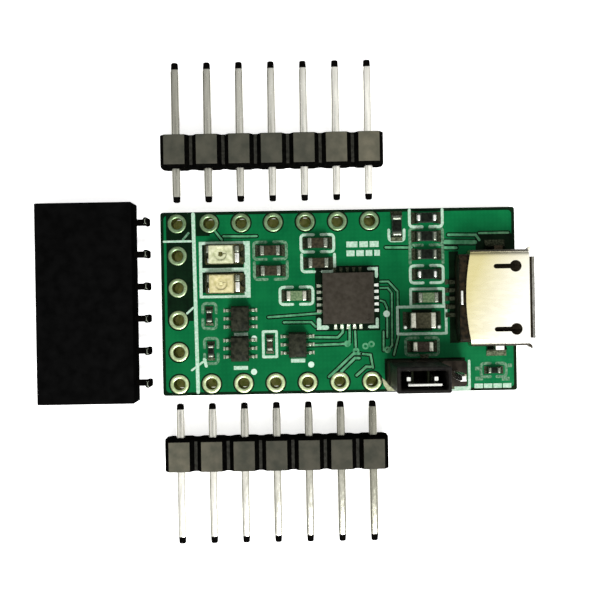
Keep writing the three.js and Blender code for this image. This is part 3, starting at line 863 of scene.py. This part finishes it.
def chip_component(name):
    """A resistor or capacitor: a ceramic body between two plated ends, soldered down at both."""
    node = Node(name)
    upright = node.half_y > node.half_x
    long, wide = (node.half_y, node.half_x) if upright else (node.half_x, node.half_y)
    height = node.half_z * 2
    turn = 90 if upright else 0
    terminal, reach = (0.44, 0.5) if long > 0.9 else (0.36, 0.38) if long > 0.7 else (0.28, 0.26)
    finish, inset, edge, corner = TIN_PAINTED_SHADE, 0.0, 0.2, 0.08
    body = Form().at(node.x, node.y, TOP, turn)
    body.block(long - 0.04, wide - 0.02, 0.03, height - 0.03, corner=0.04, foot=0.03)
    if name.startswith("resistor"):
        body.index = 1
        body.block(long - terminal - 0.02, wide - 0.06, height - 0.06, height - 0.005, corner=0.03, edge=0.02)
        piece(name + "_body", body, [CERAMIC, RESISTOR], [name])
        if name in LIT_TERMINALS:
            finish, inset, edge, corner = TIN, 0.1, 0.14, 0.16
    else:
        piece(name + "_body", body, [BODY_FINISH.get(name, CAPACITOR)], [name])
        edge = 0.09
        if name in LIT_TERMINALS:
            finish = TIN_PAINTED_HALF_SHADE
    ends = Form()
    edge = min(edge, terminal * 0.42)
    for heading in (turn, turn + 180):
        along = Vector((math.cos(math.radians(heading)), math.sin(math.radians(heading))))
        middle = Vector((node.x, node.y)) + along * (long - terminal / 2)
        tip = Vector((node.x, node.y)) + along * long
        ends.at(middle.x, middle.y, TOP, turn)
        ends.block(terminal / 2, wide - inset, 0.01, height, corner=corner, edge=edge, foot=0.04)
        solder_joint(tip.x, tip.y, heading, width=wide * 2 + 0.06, reach=reach, height=height * 0.6)
    piece(name + "_terminals", ends, [finish])


def capacitor_beads():
    """Two beads of spare solder by the largest capacitor's feet."""
    node = Node("capacitor_2")
    for sign in (-1, 1):
        solder_bead(node.x + sign * (node.half_x + 0.32), node.y - 0.55, 0.22)


# An LED's plated feet: place along and across it, half length, half width, and lit (0) or painted shade (1).
LED_FEET = (
    (0.98, -0.28, 0.2, 0.4, 0), (0.98, 0.42, 0.2, 0.26, 1),
    (-1.16, -0.5, 0.2, 0.2, 0), (-1.3, 0.4, 0.14, 0.3, 1),
)


def led(name, resin_finish, die_finish):
    """A lamp: a dark base with notched ends, plated feet, a resin block, and the die in its dish."""
    node = Node(name)
    end_x, rim = node.half_x - 0.1, node.half_z * 2
    base = node.form(TOP)
    base.block(end_x, node.half_y, 0.0, 0.28, corner=0.03, edge=0.02)
    notches = Form()
    for sign in (-1, 1):
        notches.prism(circle((node.x + sign * end_x, node.y), 0.3, 20), TOP - 0.1, TOP + 0.4)
    combine(base, notches, "DIFFERENCE")
    piece(name + "_base", base, [LED_BASE], [name])
    ends = Form()
    for along, across, half_x, half_y, index in LED_FEET:
        ends.index = index
        ends.at(node.x + along, node.y + across, TOP)
        ends.block(half_x, half_y, 0.0, 0.36, corner=0.07, edge=0.08)
    piece(name + "_terminals", ends, [TIN, TIN_PAINTED_SHADE])
    for heading in (0, 180):
        x = node.x + math.cos(math.radians(heading)) * (node.half_x - 0.12)
        solder_joint(x, node.y, heading, width=1.3, reach=0.12, height=0.15)
    middle = node.x - 0.28  # the resin sits towards the left end
    resin = Form().at(middle, node.y, TOP)
    resin.block(1.0, node.half_y - 0.06, 0.26, rim, corner=0.06, edge=0.05, draft=0.07)
    dish = Form().at(middle, node.y, TOP)
    for radius, depth in ((0.56, 0.1), (0.3, 0.17)):
        dish.cone(((radius - 0.14, rim - depth), (radius, rim + 0.02)), 32)
    combine(resin, dish, "DIFFERENCE")
    piece(name + "_resin", resin, [resin_finish])
    die = Form().at(middle, node.y, TOP)
    die.block(0.15, 0.15, rim - 0.22, rim - 0.1, corner=0.02, edge=0.02)
    wire = rounded_path([(0.06, rim - 0.12), (0.16, rim - 0.03), (0.42, rim - 0.08)], 0.05)
    die.prism(band(wire, 0.04), -0.02, 0.02, "y")
    piece(name + "_die", die, [die_finish])


# -------- the USB port

USB = Node("usb_shell")
USB_Y = USB.y
USB_HALF_WIDTH = 3.7
USB_HALF_FLOOR = 2.75
USB_SHOULDER = 1.1  # how high the slanted lower corners reach
USB_HEIGHT = 2.6
USB_CORNER = 0.6
USB_WALL = 0.28
USB_REAR = USB.low.x
USB_BOW = 0.42  # how far the rear edge bulges backwards in the middle
USB_STRAIGHT = USB_REAR + 0.8  # from here on the section is even
USB_MOUTH = 14.45
USB_BEND = 14.59  # where the dark part of a lip ends
USB_FRONT = 14.75
USB_FLARE = 0.3
USB_TAB = (12.05, 12.7)  # where each side tab starts and ends
WINDOW_SLOT = (11.9, 13.2)  # a latch window is a slot with a wider round end
WINDOW_END = 13.4
WINDOW_Y = 2.4
REAR_TAB = (9.33, 0.12)
CONTACT_TAIL = 8.7
CONTACT_RISE = 9.48
CONTACT_TIP = 13.45


def shell_section(inset):
    """The shell across X: a rounded roof, upright sides, and a floor between slanted corners."""
    side = USB_HALF_WIDTH - inset
    floor = USB_HALF_FLOOR - inset * 0.8
    low, high = TOP + inset, TOP + USB_HEIGHT - inset
    radius = USB_CORNER - inset
    flat = side - radius
    right = arc((flat, high - radius), radius, 0, 90, 8)
    roof = [(flat * (1 - step / 5), high) for step in range(1, 10)]
    left = arc((-flat, high - radius), radius, 90, 180, 8)
    section = [(-floor, low), (floor, low), (side, TOP + USB_SHOULDER), *right, *roof, *left]
    return [(USB_Y + y, z) for y, z in [*section, (-side, TOP + USB_SHOULDER)]]


def usb_shell():
    outer, inner = shell_section(0), shell_section(USB_WALL)

    def ring(section, x, bow=0):
        return [(x + bow * ((y - USB_Y) / USB_HALF_WIDTH) ** 2, y, z) for y, z in section]

    form = Form()
    form.loft(
        [
            ring(outer, USB_REAR, USB_BOW), ring(outer, USB_STRAIGHT), ring(outer, USB_MOUTH),
            ring(inner, USB_MOUTH), ring(inner, USB_STRAIGHT), ring(inner, USB_REAR, USB_BOW),
        ],
        closed=True,
    )

    def lip(edge, sign):
        """A flared plate's section, from the mouth outwards."""
        inside, outside = edge - sign * USB_WALL, edge
        root = USB_MOUTH - 0.25
        path = [(root, inside + sign * 0.02), (root, outside - sign * 0.02)]
        path += [(USB_MOUTH, outside), (USB_BEND, outside + sign * (USB_BEND - USB_MOUTH))]
        path += [(USB_FRONT, outside + sign * USB_FLARE)]
        return path + [(USB_FRONT, inside + sign * USB_FLARE), (USB_MOUTH, inside)]

    high = TOP + USB_HEIGHT
    lips = Form().at(0, USB_Y, 0)
    lips.prism(lip(high, 1), 0.6 - USB_HALF_WIDTH, USB_HALF_WIDTH - 0.6, "y")
    lips.prism(lip(TOP, -1), 0.3 - USB_HALF_FLOOR, USB_HALF_FLOOR - 0.3, "y")
    for sign in (-1, 1):
        lips.prism(lip(sign * USB_HALF_WIDTH, sign), TOP + USB_SHOULDER + 0.1, high - 0.6)
        near, far = sorted((sign * (USB_HALF_WIDTH - 0.15), sign * (USB_HALF_WIDTH + 0.35)))
        lips.prism(rectangle((USB_TAB[0], near), (USB_TAB[1], far)), TOP, TOP + 1.4)
    combine(form, lips, "UNION")

    windows = Form().at(0, USB_Y, 0)
    for y in (-WINDOW_Y, WINDOW_Y):
        windows.prism(band([(x, y) for x in WINDOW_SLOT], 0.36, cap_steps=6), high - 0.6, high + 0.5)
        windows.prism(circle((WINDOW_END, y), 0.45), high - 0.5, high + 0.4)
    combine(form, windows, "DIFFERENCE")

    def in_shadow(centre, normal):
        """The faces coloured as painted shade: inside the shell, the flared lips, the windows' cut edges, the
        steep sides and the far tab.
        """
        inside_y = abs(centre.y - USB_Y) < USB_HALF_WIDTH - USB_WALL + 0.01
        inside_z = TOP + USB_WALL - 0.01 < centre.z < high - USB_WALL + 0.01
        in_window = inside_y and abs(normal.z) < 0.1 and centre.z > high - USB_WALL
        side = abs(normal.y) > 0.72 and abs(centre.y - USB_Y) < USB_HALF_WIDTH + 0.1
        lip = USB_MOUTH < centre.x < USB_BEND
        far_tab = centre.y - USB_Y > USB_HALF_WIDTH + 0.06 and centre.x < USB_MOUTH - 1
        return (inside_y and inside_z) or lip or side or far_tab or in_window and centre.x > USB_REAR + 1

    form.paint(1, in_shadow)
    piece("usb_port_shell", form, [STEEL, STEEL_PAINTED_SHADE], ["usb_shell"], bevel=0.05)


def usb_insides():
    inset = USB_WALL + 0.04
    node = Node("usb_insulator")
    block_front, tongue_x = 10.6, 12.1
    form = Form().prism(shell_section(inset), node.low.x, block_front, "x")
    tongue_low = TOP + 1.15
    form.at(tongue_x, USB_Y, 0)
    form.block(1.7, 1.85, tongue_low, tongue_low + 0.6, corner=0.15, edge=0.08, foot=0.04)
    piece("usb_port_insulator", form, [INSULATOR], ["usb_insulator"], bevel=0.04)
    foot_z, finger_z = TOP + 0.075, tongue_low + 0.075
    path = [(CONTACT_TAIL, foot_z), (CONTACT_RISE, foot_z), (CONTACT_RISE, finger_z), (CONTACT_TIP, finger_z)]
    path = rounded_path(path, 0.2)
    for index in range(5):
        name = f"usb_contact_{index + 1}"
        contact = Node(name)
        # the contacts are near-black: painted shade under the shell
        finger = Form().prism(band(path, 0.15), contact.low.y, contact.high.y, "y")
        piece(name + "_strip", finger, [SOLDER_PAINTED_SHADE], [name])
        tail = CONTACT_TAIL + 0.02
        solder_joint(tail, contact.y, 180, width=0.34, reach=0.3, height=0.12, under=0.4)
    tab = Form().at(*REAR_TAB, 0)
    tab.block(0.1, 0.54, TOP + 1.9, TOP + 2.4, corner=0.04, edge=0.04)
    piece("usb_port_rear_tab", tab, [TIN])
    for sign in (-1, 1):
        y = USB_Y + sign * (USB_HALF_WIDTH + 0.33)
        solder_joint(USB_TAB[0] + 0.33, y, 90 * sign, width=1.5, reach=0.55, height=0.5)


# -------- the jumper

JUMPER_PITCH = 2.0


def jumper():
    base = Node("jumper_base")
    form = Form()
    for step in (-1, 0, 1):
        form.at(base.x + step * JUMPER_PITCH, base.y, 0)
        form.block(JUMPER_PITCH / 2, JUMPER_PITCH / 2, base.low.z, base.high.z, corner=0.25, edge=0.05)
    piece("jumper_base_body", form, [JUMPER], ["jumper_base"])
    for index in range(3):
        name = f"jumper_pin_{index + 1}"
        node = Node(name)
        pin = node.form()
        levels = ((node.half_x, node.low.z), (node.half_x, node.high.z - 0.3), (0.14, node.high.z))
        pin.stack((rounded_rectangle(half, half, 0.05, 2), z) for half, z in levels)
        piece(name + "_post", pin, [TIN], [name])
        side = 1 if index % 2 else -1
        solder_joint(node.x, node.y + side * 1.0, 90 * side, width=0.6, reach=0.4, height=0.25)


def shunt():
    housing, clip = Node("shunt_housing"), Node("shunt_clip")
    wall = 0.3
    half_x, half_y = housing.half_x, housing.half_y
    profile = (
        (0.12, 0, housing.low.z), (0.12, 0, housing.high.z - 0.08), (0.08, -0.08, housing.high.z),
        (0.1, 0.08 - wall, housing.high.z), (0.1, -wall, housing.high.z - 0.12), (0.1, -wall, housing.low.z),
    )
    levels = [(rounded_rectangle(half_x + grow, half_y + grow, radius), z) for radius, grow, z in profile]
    form = housing.form().stack(levels, closed=True)
    piece("shunt_sleeve", form, [BLACK], ["shunt_housing"], "jumper_shunt")
    metal = 0.2
    bar_x = housing.x + 0.12
    spring = Form().at(bar_x, clip.low.y + metal / 2, 0)
    spring.block(1.24, metal / 2, clip.low.z, clip.high.z)
    # the two leaves are near-black metal: painted shade inside the sleeve
    spring.index = 1
    for sign in (-1, 1):
        spring.at(housing.x + sign * 0.6, clip.y, 0)
        spring.block(metal / 2, clip.half_y, clip.low.z, clip.low.z + 2.5, edge=0.05)
    piece("shunt_spring_clip", spring, [TIN, SOLDER_PAINTED_SHADE], ["shunt_clip"], "jumper_shunt")


# -------- the pin strips

STRIP_FLAT = 1.65
STRIP_GROOVE_FLAT = 0.25
STRIP_GROOVE_DEPTH = 0.45
STRIP_SLOPE = 0.2
STRIP_DROP = 0.16


def strip_housing(body, plastic):
    """A run of seven flat-topped units with a groove between each two, and a slope on the board's side."""
    node = Node(body + "_housing")
    slant = (PITCH - STRIP_FLAT - STRIP_GROOVE_FLAT) / 2
    high, sunk = node.half_z, node.half_z - STRIP_GROOVE_DEPTH
    upper = []
    for x in COLUMNS:
        upper += [(x - STRIP_FLAT / 2 - slant, sunk), (x - STRIP_FLAT / 2, high)]
        upper += [(x + STRIP_FLAT / 2, high), (x + STRIP_FLAT / 2 + slant, sunk)]
    outline = [(x, -z) for x, z in upper] + upper[::-1]
    inward = -1 if node.y > 0 else 1
    levels = []
    for along, drop in ((-1.0, 0.0), (1.0 - STRIP_SLOPE / node.half_y, 0.0), (1.0, STRIP_DROP)):
        level = [(x, z - math.copysign(drop, z)) for x, z in outline]
        levels.append((level, inward * along * node.half_y))
    form = Form().at(0, node.y, node.z).stack(levels, "y")
    # the groove floors and the sides are darker plastic: painted shade
    form.paint(1, lambda centre, normal: abs(normal.z) > 0.9 and abs(centre.z - node.z) < sunk + 0.05)
    form.paint(2, lambda centre, normal: abs(normal.z) < 0.9)
    materials = [plastic, STRIP_GROOVE_PAINTED_SHADE, STRIP_SIDES_PAINTED_SHADE]
    piece(body + "_plastic", form, materials, [body + "_housing"], body, bevel=0.05)


def strip_pins(body, finish):
    """Seven bars whose ends narrow to a nub, near-black as painted shade."""
    nub_half, taper, corner = 0.25, 0.2, 0.15
    outer_nub, inner_nub = 0.56, 0.44
    for index in range(7):
        name = f"{body}_pin_{index + 1}"
        node = Node(name)
        nubs = {sign: outer_nub if sign * node.y > 0 else inner_nub for sign in (-1, 1)}
        levels = []
        for sign in (-1, 1):
            nub = nubs[sign]
            steps = [(0.0, 0.14), (0.07, nub_half), (nub, nub_half + 0.03), (nub + taper, node.half_x)]
            ring_ys = [(sign * (node.half_y - depth), half) for depth, half in steps]
            levels += ring_ys if sign < 0 else ring_ys[::-1]
        sections = [(rounded_rectangle(half, half, corner * half / node.half_x, 3), y) for y, half in levels]
        form = node.form(node.z).stack(sections, "y")
        # the nubs are painted shade
        form.paint(1, lambda centre, normal: centre.y - node.y < nubs[-1] - node.half_y)
        form.paint(1, lambda centre, normal: centre.y - node.y > node.half_y - nubs[1])
        piece(name + "_bar", form, [finish, BLACK_METAL_PAINTED_SHADE], [name], body)


# -------- the socket strip

CELL_BACK = -17.0  # where the cells end and the contacts' leaves start
LEAF = ((0.0, 0.12), (-0.6, 0.42), (-4.3, 0.3), (-4.95, 0.42))  # place from there, and spread


def socket_strip():
    node = Node("socket_housing")
    contacts = [Node(f"socket_contact_{index + 1}") for index in range(6)]
    front = node.low.x
    form = node.form()
    form.block(node.half_x, node.half_y, 0.0, node.high.z, corner=0.08, edge=0.06, foot=0.06)
    cells = Form()
    for contact in contacts:
        cells.at(0, contact.y, node.z)
        mouths = ((front - 0.1, 0.62), (front + 0.3, 0.45), (front + 0.85, 0.45))
        cells.stack(((rectangle((-half, -half), (half, half)), x) for x, half in mouths), "x")
        cells.prism(rectangle((-0.8, -0.8), (0.8, 0.8)), front + 0.8, CELL_BACK, "x")
        cells.prism(rectangle((-0.32, -0.22), (0.32, 0.22)), CELL_BACK - 0.1, node.high.x + 1, "x")
    combine(form, cells, "DIFFERENCE")
    piece("socket_strip_plastic", form, [SOCKET], ["socket_housing"], "socket_strip")
    for index, contact in enumerate(contacts):
        end = contact.high.x
        metal = Form().at(0, contact.y, node.z)
        metal.index = 1
        metal.prism(band([(CELL_BACK - 0.3, 0), (end - 0.3, 0)], 0.4), -0.25, 0.25, "y")
        metal.at(end - 0.2, contact.y, 0)
        metal.block(0.2, contact.half_y, node.z - 0.2, contact.high.z, corner=0.16, edge=0.17, foot=0.1)
        metal.at(0, contact.y, node.z)
        for sign in (-1, 1):
            leaf = [(CELL_BACK + along, sign * spread) for along, spread in LEAF]
            metal.prism(band(rounded_path(leaf, 0.2), 0.14), -0.3, 0.3, "y")
        # the contacts are near-black, painted shade inside the cells; the tops of their ends get the shaded
        # tin
        metal.paint(0, lambda centre, normal: centre.x > end - 0.4 and normal.z > 0.97)
        name = f"socket_contact_{index + 1}"
        materials = [TIN_PAINTED_SHADE, BLACK_METAL_PAINTED_SHADE]
        piece(name + "_leaf", metal, materials, [name], "socket_strip", bevel=0.03)


# -------- camera, lights and floor

EYE = (-3.057, 0.156, 71.0)  # the camera looks straight down from here
LENS = 52.67  # for a sensor 36 wide
ROLL = -1.0  # degrees
PANEL_PLACE = (20, -138, 150)
PANEL_WATTS = 0.565
FLOOR_HALF = 2500


def studio():
    scene = bpy.context.scene
    scene.view_settings.view_transform = "Standard"

    lens = bpy.data.cameras.new("camera")
    lens.lens = LENS
    lens.sensor_width = 36
    lens.clip_start = 0.001
    camera = put("camera", lens)
    camera.location = Vector(EYE) * MM
    camera.rotation_euler = (0, 0, math.radians(ROLL))
    scene.camera = camera

    world = bpy.data.worlds.new("studio")
    scene.world = world
    world.use_nodes = True
    tree = world.node_tree
    background = tree.nodes["Background"]
    direction = tree.nodes.new("ShaderNodeTexCoord").outputs["Generated"]

    def lobe(towards, near_cos, far_cos, centre_level, far_level):
        """A level that changes smoothly with the angle to a direction."""
        inputs = {0: direction, 1: Vector(towards).normalized()}
        nearness = add_node(tree, "ShaderNodeVectorMath", inputs, operation="DOT_PRODUCT")
        inputs = {"Value": nearness.outputs["Value"], "From Min": far_cos, "From Max": near_cos}
        inputs.update({"To Min": far_level, "To Max": centre_level})
        fade = add_node(tree, "ShaderNodeMapRange", inputs, interpolation_type="SMOOTHSTEP")
        return fade.outputs["Result"]

    # a bright ceiling that falls away to dim walls, with the camera's own dim reflection in it
    ceiling = lobe((0.25, -0.3, 1.0), near_cos=0.97, far_cos=0.2, centre_level=1.15, far_level=0.22)
    overhead = (-0.1, 0.09, 1.0)
    lens_shadow = lobe(overhead, near_cos=0.9985, far_cos=0.975, centre_level=0.45, far_level=1.0)
    level = add_node(tree, "ShaderNodeMath", {0: ceiling, 1: lens_shadow}, operation="MULTIPLY")
    tree.links.new(level.outputs[0], background.inputs["Strength"])
    background.inputs["Color"].default_value = (1.0, 0.995, 0.98, 1.0)

    panel = bpy.data.lights.new("soft_panel", "AREA")
    panel.shape = "SQUARE"
    panel.size = 80 * MM
    panel.energy = PANEL_WATTS
    lamp = put("soft_panel", panel)
    lamp.location = Vector(PANEL_PLACE) * MM
    lamp.rotation_euler = (-lamp.location).to_track_quat("-Z", "Y").to_euler()
    lamp.visible_camera = False

    # a light table, and a small dark olive sheet under the board: painted shade that shows through the
    # board's holes
    paper = Finish("lit_paper")
    paper.colour((0.93, 0.93, 0.93), (0.95, 0.95, 0.95), paper.noise(0.8))
    paper.roughness(0.8, 0.95, paper.noise(0.3))
    paper.shader.inputs["Emission Color"].default_value = (1.0, 1.0, 1.0, 1.0)
    paper.set(specular=0.0, glow=0.6)
    painted_shade_card = Finish("painted_shade_card")
    painted_shade_card.colour((0.32, 0.36, 0.10), (0.62, 0.60, 0.28), painted_shade_card.noise(0.5))
    painted_shade_card.roughness(0.8, 0.95, painted_shade_card.noise(0.3))
    painted_shade_card.set(specular=0.0)
    for name, finish, half_x, half_y, z in (
        ("floor", paper, FLOOR_HALF, FLOOR_HALF, -0.02),
        ("painted_shade_card", painted_shade_card, BOARD.half_x - 0.5, BOARD.half_y - 0.5, -0.01),
    ):
        sheet = put(name, bpy.data.meshes.new(name))
        corners = rectangle((-half_x * MM, -half_y * MM), (half_x * MM, half_y * MM))
        sheet.data.from_pydata([(x, y, z * MM) for x, y in corners], [], [(0, 1, 2, 3)])
        sheet.data.materials.append(finish.material)


# -------- everything

laminate()
copper()
plated_holes()
silkscreen()
microcontroller()
for chip_name in ("regulator_chip", "usb_guard_chip", "logic_chip"):
    small_chip(chip_name)
led("status_led", LED_GREEN, LED_DIE)
led("power_led", LED_AMBER, LED_DIE_PALE)
for component in OUTLINES:
    chip_component(component)
capacitor_beads()
usb_shell()
usb_insides()
jumper()
shunt()
piece("solder_joints", solder, [SOLDER, SOLDER_PAINTED_SHADE, SOLDER_PAINTED_HALF_SHADE])
for strip, plastic, pin_finish in (("pin_strip_a", STRIP_A, PIN_A), ("pin_strip_b", STRIP_B, PIN_B)):
    strip_housing(strip, plastic)
    strip_pins(strip, pin_finish)
socket_strip()
studio()
